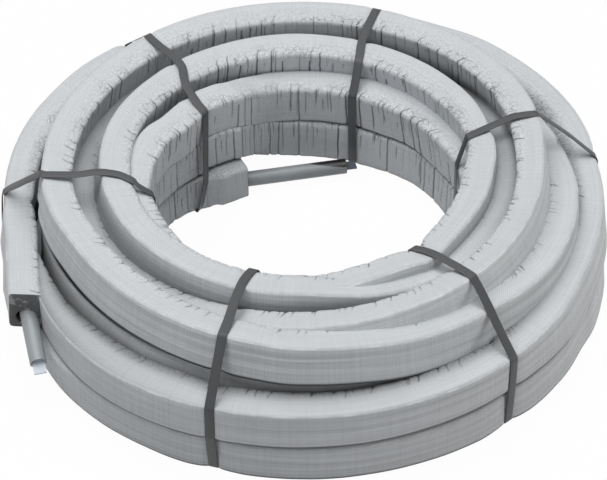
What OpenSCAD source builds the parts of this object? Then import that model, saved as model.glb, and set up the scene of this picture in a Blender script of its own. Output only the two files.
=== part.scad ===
// Coil of jacketed pipe for heating and tap water: one long pipe in a rectangular foam
// jacket, wound in two full layers and a loose top layer, and held by six flat straps.

/* [Coil] */
// Outside radius of the wound coil
coil_r = 372; // [320:1:460]
// Turns side by side between the bore and the outside
columns = 5; // [4:1:6]
// How much narrower a turn is where its neighbours squeeze it
column_squeeze = 2; // [0:0.5:4]
// Extra height of a layer where inner turns ride up on each other
layer_ride = 6.5; // [3:0.5:10]
// Distance from the bore's wall out to the small turn in the top layer
top_small_in = 17.5; // [5:0.5:30]
// Distance from the coil's outside in to the large turn in the top layer
top_large_out = 49.5; // [35:0.5:60]

/* [Jacket] */
// Width of the jacket across the coil
jacket_w = 38.5; // [34:0.5:42]
// Height of the jacket
jacket_h = 52.5; // [46:0.5:56]
// Corner radius of the jacket
jacket_corner = 6; // [3:0.5:9]
// Height of the pipe's centre above the jacket's underside
pipe_rise = 16; // [14:0.5:24]

/* [Pipe] */
// Outside diameter of the pipe
pipe_d = 20; // [16:0.5:24]
// Wall of the pipe
pipe_wall = 2; // [1.5:0.1:3]
// Length of pipe that stands out of the jacket's outer end
outer_reach = 61; // [30:1:90]
// Distance from the grip tab at the inner end on to the bore's wall
inner_reach_left = 12.5; // [5:0.5:80]
// Least foam left beside the pipe where it sits askew in the jacket's end
pipe_skin = 1.5; // [0.5:0.5:3]

/* [Ends of the jacket] */
// Distance that the outer end stands off the coil at its mouth
outer_end_off = 15.5; // [8:0.5:24]
// Height of that end's underside above the turn that it leaves
outer_end_lift = 4.5; // [1:0.5:16]
// Turn of that end away from the coil's tangent, in degrees
outer_end_turn = 10.5; // [6:0.5:12]
// Distance from the bore's wall to the inner end's near corner, at its mouth
inner_end_in = 62; // [50:0.5:75]
// Bearing of that corner round the coil, in degrees
inner_end_bearing = 122.8; // [115:0.1:130]
// Height of that end's underside above the floor
inner_end_z = 1; // [0.5:0.5:8]
// Heading of the inner end, in degrees
inner_end_heading = 29; // [22:1:34]

/* [Plugs] */
// Length of a plug's shank
plug_len = 14; // [8:1:24]
// Depth of the plug's disc below the pipe's end
plug_sink = 2.5; // [1:0.5:5]
// Step from the edge of a plug's disc in to each side of its grip tab
tab_inset = 0.6; // [0.2:0.1:3]
// Thickness of the grip tab
tab_t = 2; // [1.2:0.2:3]
// Reach of the grip tab past the pipe's end
tab_reach = 14; // [6:1:20]

/* [Straps] */
// Width of a strap
strap_w = 12; // [8:0.5:16]
// Thickness of a strap
strap_t = 0.8; // [0.5:0.1:1.5]
// Depth that a tight strap bites into the jacket
strap_bite = 4; // [2:0.5:6]
// Corner cut of a tight strap round the jacket's edges
strap_corner = 9; // [5:1:14]
// Bearings of the straps round the coil
strap_angles = [13, 70, 140, 181, 256, 310];

/* [Fits] */
// Gap between the pipe and the jacket all round
pipe_gap = 0.5; // [0.2:0.1:0.9]
// Gap between a plug's shank and the pipe's bore
plug_gap = 0.1; // [0.05:0.05:0.3]
// Gap between a strap and the jacket under it
strap_gap = 0.2; // [0.1:0.1:0.5]
// Gap at each side of a strap in its channel
channel_side = 1.5; // [0.5:0.5:3]

/* [Hidden] */
$fn = 96;
arc_steps = 5;
groove_angle = 18;                         // a rounded edge stops this far short where turns meet

function unit(a) = [cos(a), sin(a)];
// Distance from a point inside a circle about the axis, along a heading, to the circle
function run_to(r, from, heading) =
    let (d = unit(heading)) sqrt(r * r - pow(cross(from, d), 2)) - from * d;

column_pitch = jacket_w - column_squeeze;
layer_rise = jacket_h + layer_ride;
bore_r = coil_r - columns * column_pitch;
inner_top = 2 * layer_rise;                // top of the two full layers inside the coil
outer_top = 2 * jacket_h;                  // top of the outermost turns, which lie close
top_z = inner_top + jacket_h;
top_small_r = bore_r + top_small_in;
top_large_r = coil_r - top_large_out - jacket_w;
seat_overlap = 0.5;                        // the top turns sink this far into the layer below
pipe_bore_d = pipe_d - 2 * pipe_wall;
pipe_room = 3;                             // air round the pipe where it passes the turn beside it
plug_d = pipe_bore_d - 2 * plug_gap;
tab_w = plug_d - 2 * tab_inset;

// Outer end: its outer face leaves the coil at this point, and the pipe droops out of it
outer_start = [3 - coil_r, -20];
outer_heading = -90 + outer_end_turn;
outer_end_z = jacket_h + outer_end_lift;
outer_end_len = run_to(coil_r + outer_end_off, outer_start, outer_heading);
outer_droop = 16;
outer_pipe_turn = 4.5;
// Inner end: the pipe runs on level, closer to the coil's own curve
inner_pipe_turn = -17.5;
inner_end_at = (bore_r - inner_end_in) * unit(inner_end_bearing);
inner_end_root = 1;                        // the end runs back this far into the bore's wall
inner_end_len = run_to(bore_r + inner_end_root, inner_end_at, inner_end_heading + 180);
inner_end_strap = 2;                       // index of the strap that also holds the inner end
inner_mouth = inner_end_at + jacket_w / 2 * unit(inner_end_heading + 90);
inner_pipe_heading = inner_end_heading + inner_pipe_turn;
inner_reach = run_to(bore_r - inner_reach_left,
    inner_mouth + tab_w / 2 * unit(inner_pipe_heading + 90), inner_pipe_heading) - tab_reach;
pipe_seat = (jacket_w / 2 - pipe_d / 2 - pipe_gap - pipe_skin) / sin(abs(inner_pipe_turn));

function arc(c, r, from, to) =
    [for (i = [0:arc_steps]) c + r * unit(from + (to - from) * i / arc_steps)];
function column_r(c) = bore_r + c * column_pitch;

// One rounded edge of a turn: q is 0 to 3, counted from top right, and a joined side stops short
function edge(r0, r1, z0, z1, q, join_first = false, join_last = false) =
    let (c = jacket_corner,
         x = (q == 0 || q == 3) ? r1 - c : r0 + c,
         y = (q < 2) ? z1 - c : z0 + c)
    arc([x, y], c, q * 90 + (join_first ? groove_angle : 0),
        (q + 1) * 90 - (join_last ? groove_angle : 0));

// Half section of the two full layers, from the outer bottom edge round to the inner one
function wound_outline() =
    let (last = columns - 1, r0 = column_r(last), r1 = coil_r)
    concat(
        edge(r0, r1, 0, jacket_h, 3),
        edge(r0, r1, 0, jacket_h, 0, false, true),
        edge(r0, r1, jacket_h, outer_top, 3, true, false),
        edge(r0, r1, jacket_h, outer_top, 0),
        edge(r0, r1, jacket_h, outer_top, 1, false, true),
        [for (c = [last - 1:-1:0]) each concat(
            edge(column_r(c), column_r(c + 1), layer_rise, inner_top, 0, c < last - 1, false),
            edge(column_r(c), column_r(c + 1), layer_rise, inner_top, 1, false, c > 0))],
        edge(bore_r, column_r(1), layer_rise, inner_top, 2, false, true),
        edge(bore_r, column_r(1), 0, layer_rise, 1, true, false),
        [for (c = [0:last]) each concat(
            edge(column_r(c), column_r(c + 1), 0, layer_rise, 2, c > 0, false),
            c < last ? edge(column_r(c), column_r(c + 1), 0, layer_rise, 3, false, true) : [])]
    );

function turn_outline(r0, z0) =
    let (r1 = r0 + jacket_w, z1 = z0 + jacket_h)
    [for (q = [0:3]) each edge(r0, r1, z0, z1, q)];

module top_turn(r0) {
    rotate_extrude()
        polygon(turn_outline(r0, inner_top - seat_overlap));
}

// A straight length of jacket from its mouth backwards; x is across and z is up
module jacket_length(len) {
    rotate([90, 0, 0])
        linear_extrude(len)
            polygon(turn_outline(0, 0));
}

// Frames at the mouths: y points out of the jacket and x across it
module at_outer_mouth() {
    translate([outer_start[0], outer_start[1], outer_end_z])
        rotate([0, 0, outer_heading - 90])
            translate([-jacket_w, outer_end_len, 0])
                children();
}

module at_inner_mouth() {
    translate([inner_end_at[0], inner_end_at[1], inner_end_z])
        rotate([0, 0, inner_end_heading - 90])
            translate([-jacket_w, 0, 0])
                children();
}

// Frame of a pipe's end: z runs along the pipe and out, from the point where it leaves the jacket
module along_outer_pipe() {
    at_outer_mouth()
        translate([jacket_w / 2, 0, pipe_rise])
            rotate([-90 - outer_droop, 0, outer_pipe_turn])
                children();
}

module along_inner_pipe() {
    at_inner_mouth()
        translate([jacket_w / 2, 0, pipe_rise])
            rotate([-90, 0, inner_pipe_turn])
                children();
}

// Distance from the coil's axis to the inner end's face, on a bearing
function inner_end_r(bearing) =
    let (d = unit(inner_end_heading))
    cross(inner_end_at, d) / cross(unit(bearing), d);

// The inside line of a strap, which goes round the inner end too where it stands in the way
function strap_line(i) =
    let (b = strap_bite, c = strap_corner,
         low = b, out = coil_r - b, in = bore_r + b,
         round_end = i == inner_end_strap,
         low_in = round_end ? inner_end_r(strap_angles[i]) + b : in,
         large = top_large_r + jacket_w - b, small = top_small_r + b)
    concat(
        [[out - c, low], [out, low + c]],
        [[out, outer_top - b - c], [out - c, outer_top - b]],
        [[large, top_z - b - c], [large - c, top_z - b]],
        [[small + c, top_z - b], [small, top_z - b - c]],
        [[in + c, inner_top - b], [in, inner_top - b - c]],
        round_end ? [[low_in, inner_end_z + jacket_h - b]] : [],
        [[low_in, low + c], [low_in + c, low]]
    );

function line_normal(p, q) = let (d = q - p) [d[1], -d[0]] / norm(d);

// The same closed line moved outwards by d, with mitred corners
function grown(pts, d) =
    let (n = len(pts))
    [for (i = [0:n - 1])
        let (a = line_normal(pts[(i + n - 1) % n], pts[i]),
             b = line_normal(pts[i], pts[(i + 1) % n]))
        pts[i] + d * (a + b) / (1 + a * b)];

// An upright plate in the radial plane at a strap's bearing, with its sheet's x as radius
module on_bearing(i, width) {
    rotate([0, 0, strap_angles[i]])
        rotate([90, 0, 0])
            translate([0, 0, -width / 2])
                linear_extrude(width)
                    children();
}

module strap(i) {
    color([0.25, 0.26, 0.27])
        on_bearing(i, strap_w)
            difference() {
                polygon(grown(strap_line(i), strap_gap + strap_t));
                polygon(grown(strap_line(i), strap_gap));
            }
}

// What a tight strap has pressed out of the way
module strap_channel(i) {
    on_bearing(i, strap_w + 2 * channel_side)
        difference() {
            translate([1, -10])
                square([coil_r + 60, top_z + 30]);
            polygon(strap_line(i));
        }
}

module insulation_jacket() {
    color([0.78, 0.8, 0.81])
        difference() {
            union() {
                rotate_extrude()
                    polygon(wound_outline());
                top_turn(top_small_r);
                top_turn(top_large_r);
                at_outer_mouth()
                    jacket_length(outer_end_len);
                at_inner_mouth()
                    jacket_length(inner_end_len);
            }
            for (i = [0:len(strap_angles) - 1])
                strap_channel(i);
            along_outer_pipe() {
                translate([0, 0, -pipe_seat])
                    cylinder(h = pipe_seat + outer_reach, d = pipe_d + 2 * pipe_gap);
                translate([0, 0, pipe_room + 1])
                    cylinder(h = outer_reach + tab_reach, d = pipe_d + 2 * pipe_room);
            }
            along_inner_pipe()
                translate([0, 0, -pipe_seat])
                    cylinder(h = 2 * pipe_seat, d = pipe_d + 2 * pipe_gap);
        }
}

module pipe_end(reach) {
    translate([0, 0, pipe_gap - pipe_seat])
        difference() {
            cylinder(h = pipe_seat - pipe_gap + reach, d = pipe_d);
            translate([0, 0, -1])
                cylinder(h = pipe_seat + reach + 2, d = pipe_bore_d);
        }
}

module pipe() {
    color([0.62, 0.65, 0.66]) {
        along_outer_pipe()
            pipe_end(outer_reach);
        along_inner_pipe()
            pipe_end(inner_reach);
    }
}

module plug(reach) {
    color([0.75, 0.79, 0.85])
        translate([0, 0, reach - plug_sink]) {
            translate([0, 0, -plug_len])
                cylinder(h = plug_len, d = plug_d);
            translate([-tab_w / 2, -tab_t / 2, -1])
                cube([tab_w, tab_t, tab_reach + plug_sink + 1]);
        }
}

module outer_plug() {
    along_outer_pipe()
        plug(outer_reach);
}

module inner_plug() {
    along_inner_pipe()
        plug(inner_reach);
}

insulation_jacket();
pipe();
outer_plug();
inner_plug();
strap(0);  // strap_1
strap(1);  // strap_2
strap(2);  // strap_3
strap(3);  // strap_4
strap(4);  // strap_5
strap(5);  // strap_6
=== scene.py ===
import math

import bmesh
import bpy
import numpy as np
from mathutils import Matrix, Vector
from mathutils.bvhtree import BVHTree


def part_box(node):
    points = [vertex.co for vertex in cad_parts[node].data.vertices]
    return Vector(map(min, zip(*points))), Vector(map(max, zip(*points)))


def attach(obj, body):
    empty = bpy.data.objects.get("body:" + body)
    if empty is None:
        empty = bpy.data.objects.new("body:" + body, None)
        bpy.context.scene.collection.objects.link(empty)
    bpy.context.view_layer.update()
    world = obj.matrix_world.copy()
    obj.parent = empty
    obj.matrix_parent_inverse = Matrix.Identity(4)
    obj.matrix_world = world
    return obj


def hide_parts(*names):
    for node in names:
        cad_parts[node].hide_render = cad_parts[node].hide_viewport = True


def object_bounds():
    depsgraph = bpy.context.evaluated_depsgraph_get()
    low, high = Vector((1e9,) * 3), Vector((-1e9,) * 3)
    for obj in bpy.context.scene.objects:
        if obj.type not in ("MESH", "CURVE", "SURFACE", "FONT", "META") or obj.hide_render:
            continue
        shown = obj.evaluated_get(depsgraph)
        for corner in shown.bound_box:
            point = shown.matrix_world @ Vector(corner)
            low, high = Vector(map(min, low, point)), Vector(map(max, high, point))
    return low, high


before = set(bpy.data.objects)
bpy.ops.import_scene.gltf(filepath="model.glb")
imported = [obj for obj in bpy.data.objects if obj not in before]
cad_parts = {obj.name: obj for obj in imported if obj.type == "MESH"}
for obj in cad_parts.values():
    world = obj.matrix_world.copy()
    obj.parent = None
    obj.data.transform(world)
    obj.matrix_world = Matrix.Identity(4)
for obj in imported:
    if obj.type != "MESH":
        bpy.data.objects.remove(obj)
cadLow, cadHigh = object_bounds()

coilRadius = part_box("insulation_jacket")[1].x     # outer radius of the wound coil

jacket = {
    "width": 0.0385,          # one turn, across the coil
    "height": 0.0525,         # one turn, from its bottom to its top
    "corner": 0.0042,         # rounding along the turn's edges
    "sectionPoints": 48,      # points round one section
    "fineStep": 0.0027,       # ring spacing where the turns show
    "coarseStep": 0.012,      # ring spacing of turns that are buried
    "holeRadius": 0.0112,     # opening in the cut end, round the pipe
    "holeRise": 0.016,        # pipe centre above the turn's bottom
    "holeDepth": 0.022,       # how far the opening is modelled
    "cutSlant": 11,           # degrees that the outer end is cut askew
    "slantReach": 0.045,      # how far before the end the turn starts to follow the slant
    "evenedOver": 0.022,      # a turn's direction is evened out over this much of its run
    "creaseSpacing": 0.0155,  # wrinkles along the inner faces
    "creaseWidth": 0.0034,
    "creaseDepth": 0.0018,
    "lumpDepth": 0.0010,
    "pinchDepth": 0.0024,     # how far a strap draws the foam in
    "pinchReach": 0.0070,     # how far along the turn it does so
    "swell": 0.06,            # share of that depth by which it swells beside the strap
    "swellPlace": 0.018,      # and how far from the strap
}


def cartesian(bearing, share):
    angle = math.radians(bearing)
    return np.array([math.cos(angle), math.sin(angle)]) * share * coilRadius


def walkedAlong(points):                    # distance run at each point
    return np.concatenate([[0], np.cumsum(np.linalg.norm(np.diff(points, axis=0), axis=1))])


def unitRows(vectors):
    return vectors / np.linalg.norm(vectors, axis=1)[:, None]


def smoothThrough(knots, values, places):   # cubic through given values, no overshoot
    knots, values = np.asarray(knots, float), np.asarray(values, float)
    gaps = np.diff(knots)
    slopes = np.diff(values, axis=0) / gaps[:, None]
    tangents = np.zeros_like(values)
    tangents[0], tangents[-1] = slopes[0], slopes[-1]
    before, after = slopes[:-1], slopes[1:]
    weightA = (2 * gaps[1:] + gaps[:-1])[:, None]
    weightB = (gaps[1:] + 2 * gaps[:-1])[:, None]
    with np.errstate(divide="ignore", invalid="ignore"):
        joined = (weightA + weightB) / (weightA / before + weightB / after)
    tangents[1:-1] = np.where(before * after > 0, joined, 0)
    spot = np.clip(np.searchsorted(knots, places, side="right") - 1, 0, len(gaps) - 1)
    t = ((places - knots[spot]) / gaps[spot])[:, None]
    span = gaps[spot][:, None]
    return ((2 * t**3 - 3 * t**2 + 1) * values[spot] + (t**3 - 2 * t**2 + t) * span * tangents[spot]
            + (3 * t**2 - 2 * t**3) * values[spot + 1] + (t**3 - t**2) * span * tangents[spot + 1])


class Output:          # a node's output, written in sums as a number is
    def __init__(self, tree, socket):
        self.tree, self.socket = tree, socket

    def __add__(self, other):
        return calc("ADD", self, other)

    def __sub__(self, other):
        return calc("SUBTRACT", self, other)

    def __rsub__(self, other):
        return calc("SUBTRACT", other, self)

    def __mul__(self, other):
        return calc("MULTIPLY", self, other)

    def __truediv__(self, other):
        return calc("DIVIDE", self, other)


def setInputs(tree, sockets, values):
    for key, value in values.items():
        if isinstance(value, Output):
            tree.links.new(value.socket, sockets[key])
        else:
            sockets[key].default_value = value


def addNode(tree, kind, inputs=None, **settings):
    made = tree.nodes.new(kind)
    for name, value in settings.items():
        setattr(made, name, value)
    setInputs(tree, made.inputs, inputs or {})
    return made


def allOutputs(tree, kind, inputs=None, **settings):
    made = addNode(tree, kind, inputs, **settings)
    return {socket.name: Output(tree, socket) for socket in made.outputs}


def output(tree, kind, inputs=None, which=0, **settings):
    return Output(tree, addNode(tree, kind, inputs, **settings).outputs[which])


def treeOf(*values):                        # of the first one that is an output
    return next(value.tree for value in values if isinstance(value, Output))


def calc(operation, *values, clamp=False):
    return output(treeOf(*values), "ShaderNodeMath", dict(enumerate(values)), operation=operation,
                  use_clamp=clamp)


def ramp(value, low, high, outLow=0.0, outHigh=1.0, smooth=True):
    kind = "SMOOTHSTEP" if smooth else "LINEAR"
    return output(value.tree, "ShaderNodeMapRange", {"Value": value, "From Min": low, "From Max": high,
                  "To Min": outLow, "To Max": outHigh}, interpolation_type=kind)


def vectorCalc(operation, *values):
    return output(treeOf(*values), "ShaderNodeVectorMath", dict(enumerate(values)),
                  1 if operation == "DOT_PRODUCT" else 0, operation=operation)


def scaled(vector, scale):
    return output(scale.tree, "ShaderNodeVectorMath", {0: vector, "Scale": scale}, operation="SCALE")


def combine(x, y, z=0.0):
    return output(x.tree, "ShaderNodeCombineXYZ", {"X": x, "Y": y, "Z": z})


def split(vector):
    return list(allOutputs(vector.tree, "ShaderNodeSeparateXYZ", {"Vector": vector}).values())


def noise(place, scale, detail=2.0, rough=0.5):          # centred on zero
    return output(place.tree, "ShaderNodeTexNoise", {"Vector": place, "Scale": scale, "Detail": detail,
                  "Roughness": rough}) - 0.5


# each row: bearing counted on from turn to turn, inner edge as a share of the coil's radius,
# top edge in layers, lean in degrees (outer edge up), then width and height as shares of the
# full ones; a row that leaves a share out has the full one
routeStarts = [
    (122.8, .3427, .99, 0, 1, .97), (131, .350, .99, 0, 1, .97), (138.7, .363, 1.0, 0, 1, .98),
    (144, .388, 1.02, 0), (149, .420, 1.02, 0), (155, .447, 1.02, 0), (162, .470, 1.02, 0),
    (172, .492, 1.03, 0), (185, .507, 1.05, 0, 1, 1.04), (210, .520, 1.10, 0, 1, 1.09),
    (260, .525, 1.12, 0, 1, 1.11), (330, .530, 1.12, 0, 1, 1.11), (372, .540, 1.12, 0, 1, 1.12),
    (388, .537, 1.12, 0, 1, 1.12), (400, .535, 1.12, 0, 1, 1.12), (409, .528, 1.12, 0, 1, 1.12),
    (417, .517, 1.12, 0, 1, 1.12), (430, .509, 1.13, 0, 1, 1.13),
]
routeSecond = [
    (446, .506, 1.15, 0, 1, 1.13), (456, .500, 1.22, 1, 1, 1.13), (463.5, .472, 1.42, 1, 1, 1.1),
    (470, .445, 1.65, 1, 1, 1.07), (476.5, .408, 1.90, 1, 1, 1.03), (483, .386, 2.03, 1),
    (490, .398, 2.06, 1), (497, .408, 2.06, 1), (506, .415, 2.06, 1), (514, .433, 2.08, 1),
    (525, .458, 2.10, 1), (531, .476, 2.10, 1), (545, .497, 2.12, 1, 1, 1.03),
    (570, .505, 2.17, 2, 1, 1.07), (620, .509, 2.22, 2, 1, 1.1), (690, .518, 2.24, 4, 1, 1.12),
    (720, .533, 2.27, 6, 1, 1.16), (731, .525, 2.29, 8, 1, 1.18), (740, .512, 2.31, 10, 1, 1.19),
    (748, .503, 2.31, 10, 1, 1.19), (764, .496, 2.31, 12, 1, 1.18), (776, .489, 2.30, 11, 1, 1.17),
    (790, .487, 2.31, 10, 1, 1.17),
]
routeTop = [
    (810, .487, 2.30, 8, 1, 1.14), (818, .483, 2.35, 6, 1, 1.13), (825.6, .461, 2.50, 3, 1, 1.1),
    (834, .420, 2.78, 1, 1, 1.05), (842, .390, 2.97, 2), (850, .392, 3.00, 6), (858, .402, 3.00, 6),
    (867, .403, 3.00, 6), (877, .412, 3.00, 6), (885, .440, 3.00, 6), (897, .465, 3.00, 6),
    (908, .485, 3.00, 8), (918, .500, 3.00, 8), (928, .506, 2.95, 8), (938, .510, 2.85, 8),
    (950, .515, 2.75, 8), (962, .520, 2.65, 8), (975, .528, 2.70, 8), (987, .533, 2.85, 9, .97),
    (1000, .534, 3.0, 10, .93), (1010, .531, 3.05, 11, .9), (1018, .531, 3.07, 11, .9),
    (1025, .542, 3.07, 11, .87), (1029, .556, 3.05, 11, .84), (1033, .546, 3.07, 11, .87),
    (1040, .534, 3.1, 11, .9), (1050, .528, 3.1, 11, .92), (1070, .527, 3.1, 10, .98),
    (1082, .543, 3.05, 8, .94), (1088, .558, 3.03, 7, .86), (1093, .562, 3.02, 7, .85),
    (1102, .561, 3.02, 9, .92), (1112, .557, 3.0, 11), (1140, .570, 2.92, 12), (1170, .572, 2.95, 13),
    (1185, .562, 3.0, 14), (1201, .547, 3.08, 14), (1221, .540, 3.15, 14), (1242, .547, 3.18, 13),
    (1262, .550, 3.20, 13), (1282, .554, 3.2, 12), (1301, .558, 3.2, 11), (1320, .556, 3.15, 10),
    (1340, .553, 3.1, 10), (1350, .552, 3.1, 10), (1360, .560, 3.05, 10), (1370, .575, 2.95, 10),
    (1382, .590, 2.87, 10), (1400, .600, 2.83, 10), (1420, .605, 2.82, 10), (1440, .615, 2.80, 10),
    (1455, .630, 2.66, 10), (1475, .650, 2.35, 10), (1500, .655, 2.15, 10), (1530, .660, 2.2, 10),
    (1560, .665, 2.3, 11), (1580, .665, 2.4, 12), (1602, .668, 2.45, 12), (1622, .668, 2.5, 12),
    (1640, .668, 2.55, 12), (1666, .669, 2.65, 12), (1688, .670, 2.75, 13), (1699, .679, 2.85, 14),
    (1710, .688, 2.95, 15), (1720, .698, 3.05, 16), (1740, .700, 3.10, 17, .93),
    (1760, .700, 3.10, 17, .87), (1770, .700, 3.10, 17, .84), (1785, .700, 3.10, 16, .86),
]
routeLast = [
    (1800, .700, 3.10, 14, .92), (1810, .710, 3.10, 12), (1820, .722, 3.12, 11), (1830, .731, 3.13, 11),
    (1860, .736, 3.13, 11), (1890, .730, 3.15, 11), (1921, .722, 3.20, 11), (1952, .720, 3.23, 11),
    (1982, .733, 3.25, 11), (1992, .740, 3.22, 11), (2001, .737, 3.2, 11), (2011, .728, 3.15, 12),
    (2031, .738, 3.12, 12), (2051, .758, 3.1, 12), (2060, .770, 3.1, 12), (2070, .785, 3.1, 12),
    (2080, .786, 3.05, 12), (2090, .785, 2.92, 11), (2101, .779, 2.78, 10), (2112, .780, 2.68, 10),
    (2123, .792, 2.6, 9), (2134, .804, 2.55, 8), (2155, .807, 2.45, 7), (2170, .800, 2.3, 5),
    (2190, .795, 2.2, 4), (2230, .790, 2.1, 3), (2300, .780, 2.05, 2), (2318, .800, 1.70, 1, .9, .9),
    (2332, .860, 1.50, 0, .7, .7), (2345, .905, 1.45, 0, .6, .6), (2352, .900, 1.80, 0, .35, .8),
    (2358, .889, 2.0, 1, .25, .95), (2362, .886, 2.03, 1, .25), (2367, .886, 2.03, 1, .44),
    (2371, .889, 2.03, 1, .64), (2375, .890, 2.03, 1, .75), (2380, .888, 2.04, 1, .89),
    (2388, .885, 2.05, 2, 1.07), (2395, .886, 2.05, 2, 1.15), (2401, .885, 2.05, 2, 1.19),
    (2408, .886, 2.05, 2, 1.2), (2414, .901, 2.05, 2, 1.04), (2420, .896, 2.05, 2, 1.08),
    (2440, .897, 2.05, 2, 1.06), (2454, .894, 2.05, 2, 1.07), (2468, .898, 2.05, 2, 1.02),
    (2478, .892, 2.05, 2), (2486, .888, 2.06, 2), (2495, .880, 2.06, 3), (2504, .883, 2.07, 3),
    (2512, .892, 2.08, 3), (2520, .899, 2.1, 4), (2530, .905, 2.11, 4, 1.02), (2537, .914, 2.12, 4, 1.1),
    (2545, .918, 2.14, 5, 1.15), (2558, .920, 2.15, 5, 1.17), (2569, .920, 2.16, 5, 1.17),
    (2575, .917, 2.17, 5, 1.14), (2580, .911, 2.17, 5, 1.12), (2588, .908, 2.18, 5, 1.08),
    (2592, .904, 2.18, 5, 1.02), (2600, .904, 2.18, 5, 1.04), (2625, .902, 2.17, 5, 1.04),
    (2647, .897, 2.15, 5), (2652, .905, 2.15, 5, 1.09), (2660, .907, 2.14, 5, 1.09),
    (2668, .903, 2.13, 4, 1.07), (2680, .898, 2.12, 4, 1.05), (2689, .892, 2.12, 4),
    (2697, .885, 2.1, 3, .98), (2701, .883, 2.1, 3, .94), (2708, .874, 2.1, 3, 1.02),
    (2712, .870, 2.1, 3, 1.04), (2717, .882, 2.09, 3), (2722, .897, 2.08, 4), (2727, .922, 2.07, 5),
    (2731, .943, 2.06, 5),
]
firstBearing, lastBearing = 124, 2722        # near the two cut ends
# buried turns, as closed rings: bearing where one starts, share, top
buriedFirst = [(0, .610, 1.0), (0, .705, 1.0), (0, .800, 1.0)]
buriedSecond = [(0, .612, 2.08), (0, .700, 2.08)]
# the first layer's outer turn: bearing, share, top, slope (its foot stands out)
outerFirst = [
    (20, .900, .94, 0), (27, .920, 1, 0), (38, .928, 1, 0), (50, .928, 1, 0), (60, .912, 1, 0),
    (72, .900, 1, 0), (125, .8965, 1, 0), (135, .909, 1, 0), (147, .909, 1, 0), (162, .902, 1, 0),
    (175, .8965, 1, 0), (185, .890, 1, 0), (196, .880, 1, 0), (211, .877, 1, 0), (221, .888, 1, 0),
    (232, .891, 1, 0), (240, .892, 1, 0), (249, .8965, 1, 0), (254.5, .889, 1, 0), (261, .8965, 1, 0),
    (282, .900, 1, .01), (290, .900, 1, .03), (303, .903, 1, .05), (310, .895, 1, .06),
    (316, .903, 1, .10), (326, .903, 1, .12), (333, .899, 1, .13), (340, .909, 1, .13),
    (346, .909, 1, .13), (352, .911, 1, .13), (357, .903, 1, .10), (362, .898, 1, .08),
    (372, .901, 1, .02), (380, .913, 1, 0), (388, .912, .94, 0)]
# slope of the last turn: bearing, slope
lastSlope = [(2470, 0), (2480, .12), (2490, .18), (2505, .18), (2512, .15), (2520, .08), (2528, 0),
             (2696, 0), (2704, .12), (2722, .12), (2728, 0)]
# the turn that shows below the last one: bearing, share, top, lean
underTurn = [(130, .750, 1.4, 3), (160, .755, 1.4, 3), (188, .757, 1.75, 6), (203, .757, 1.95, 16),
             (217, .759, 1.94, 21), (240, .763, 1.86, 25), (270, .769, 1.85, 25), (290, .778, 1.82, 25),
             (320, .785, 1.7, 26), (345, .78, 1.6, 20)]

# where a turn gets painted shade along its run, and where its wrinkles get none: bearings, and the strength
# at each
ringMasks = {
    "under": ([1395, 1415, 1445, 1475, 1610, 1660, 1700, 2290, 2305, 2345, 2358, 2376, 2398, 2425],
              [0, 0.4, 0.8, 0.85, 0.5, 0.4, 0, 0, 1, 1, 0.62, 0.5, 0.25, 0]),       # shaded, low top
    "calm": ([1256, 1264, 1328, 1336], [0, 1, 1, 0]),                               # no painted shade in the wrinkles
    "seam": ([2482, 2492, 2518, 2530], [1, 0.15, 0.15, 1]),                         # painted shade line at a wall's foot
    "nook": ([2366, 2376, 2590, 2610, 2700, 2706], [0, 1, 1, 0.3, 0.3, 0]),         # shaded inner edge
    "foot": ([1812, 1826, 1880, 1925], [0, 1, 1, 0.2]),                             # shaded inner foot
}

# straps, seen from above: (bearing, share of the coil's radius), from outside to inside
strapRoutes = [
    [(9, 1.02), (10, .98), (12, .91), (14.2, .81), (15.2, .74), (14.6, .70), (12.8, .616), (11, .555),
     (9.5, .52), (9.5, .47)],
    [(71, 1.02), (71, .86), (71, .65), (70, .60), (69, .54), (68.6, .47)],
    [(128.2, 1.02), (128.8, .99), (130, .90), (130.9, .83), (131.3, .75), (131.4, .68), (132.6, .60),
     (136, .55), (140, .47), (142.5, .41), (143, .39)],
    [(180.5, 1.02), (181.3, .978), (185.5, .90), (189.2, .823), (190.4, .73), (190.4, .66),
     (191.4, .608), (194, .566), (197, .54), (199.5, .50), (200.4, .47)],
    [(254.5, 1.02), (254.5, .80), (254, .70), (254, .60), (255.5, .54), (257.5, .50)],
    [(310, 1.02), (310.5, .90), (311.5, .80), (311.5, .70), (310.5, .60), (308.7, .55), (308.2, .50)],
]
strapSlide = [0, 0, -0.017, 0, 0, 0]     # how far an inner end has slipped along the wall at the ground


def strapBearing(route, shares):
    rows = sorted((share, bearing) for bearing, share in route)
    return np.interp(shares, [row[0] for row in rows], [row[1] for row in rows])


def sampleRoute(rows, first, last, step):
    table = np.array([(*row, 1, 1)[:6] for row in rows], float)
    bearings = np.linspace(first, last, max(8, int(abs(last - first) * 8)))
    values = smoothThrough(table[:, 0], table[:, 1:], bearings)
    angles = np.radians(bearings)
    edge = np.stack([np.cos(angles) * values[:, 0] * coilRadius, np.sin(angles) * values[:, 0] * coilRadius,
                     values[:, 1] * jacket["height"]], 1)
    walked = walkedAlong(edge)
    count = max(3, int(round(walked[-1] / step)) + 1)
    places = np.linspace(0, walked[-1], count)
    pick = lambda column: np.interp(places, walked, column)
    edge = np.stack([pick(edge[:, k]) for k in range(3)], 1)
    return {"edge": edge, "along": places, "bearing": pick(bearings), "share": pick(values[:, 0]),
            "lean": np.radians(pick(values[:, 2])), "widthShare": pick(values[:, 3]),
            "heightShare": pick(values[:, 4])}


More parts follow.
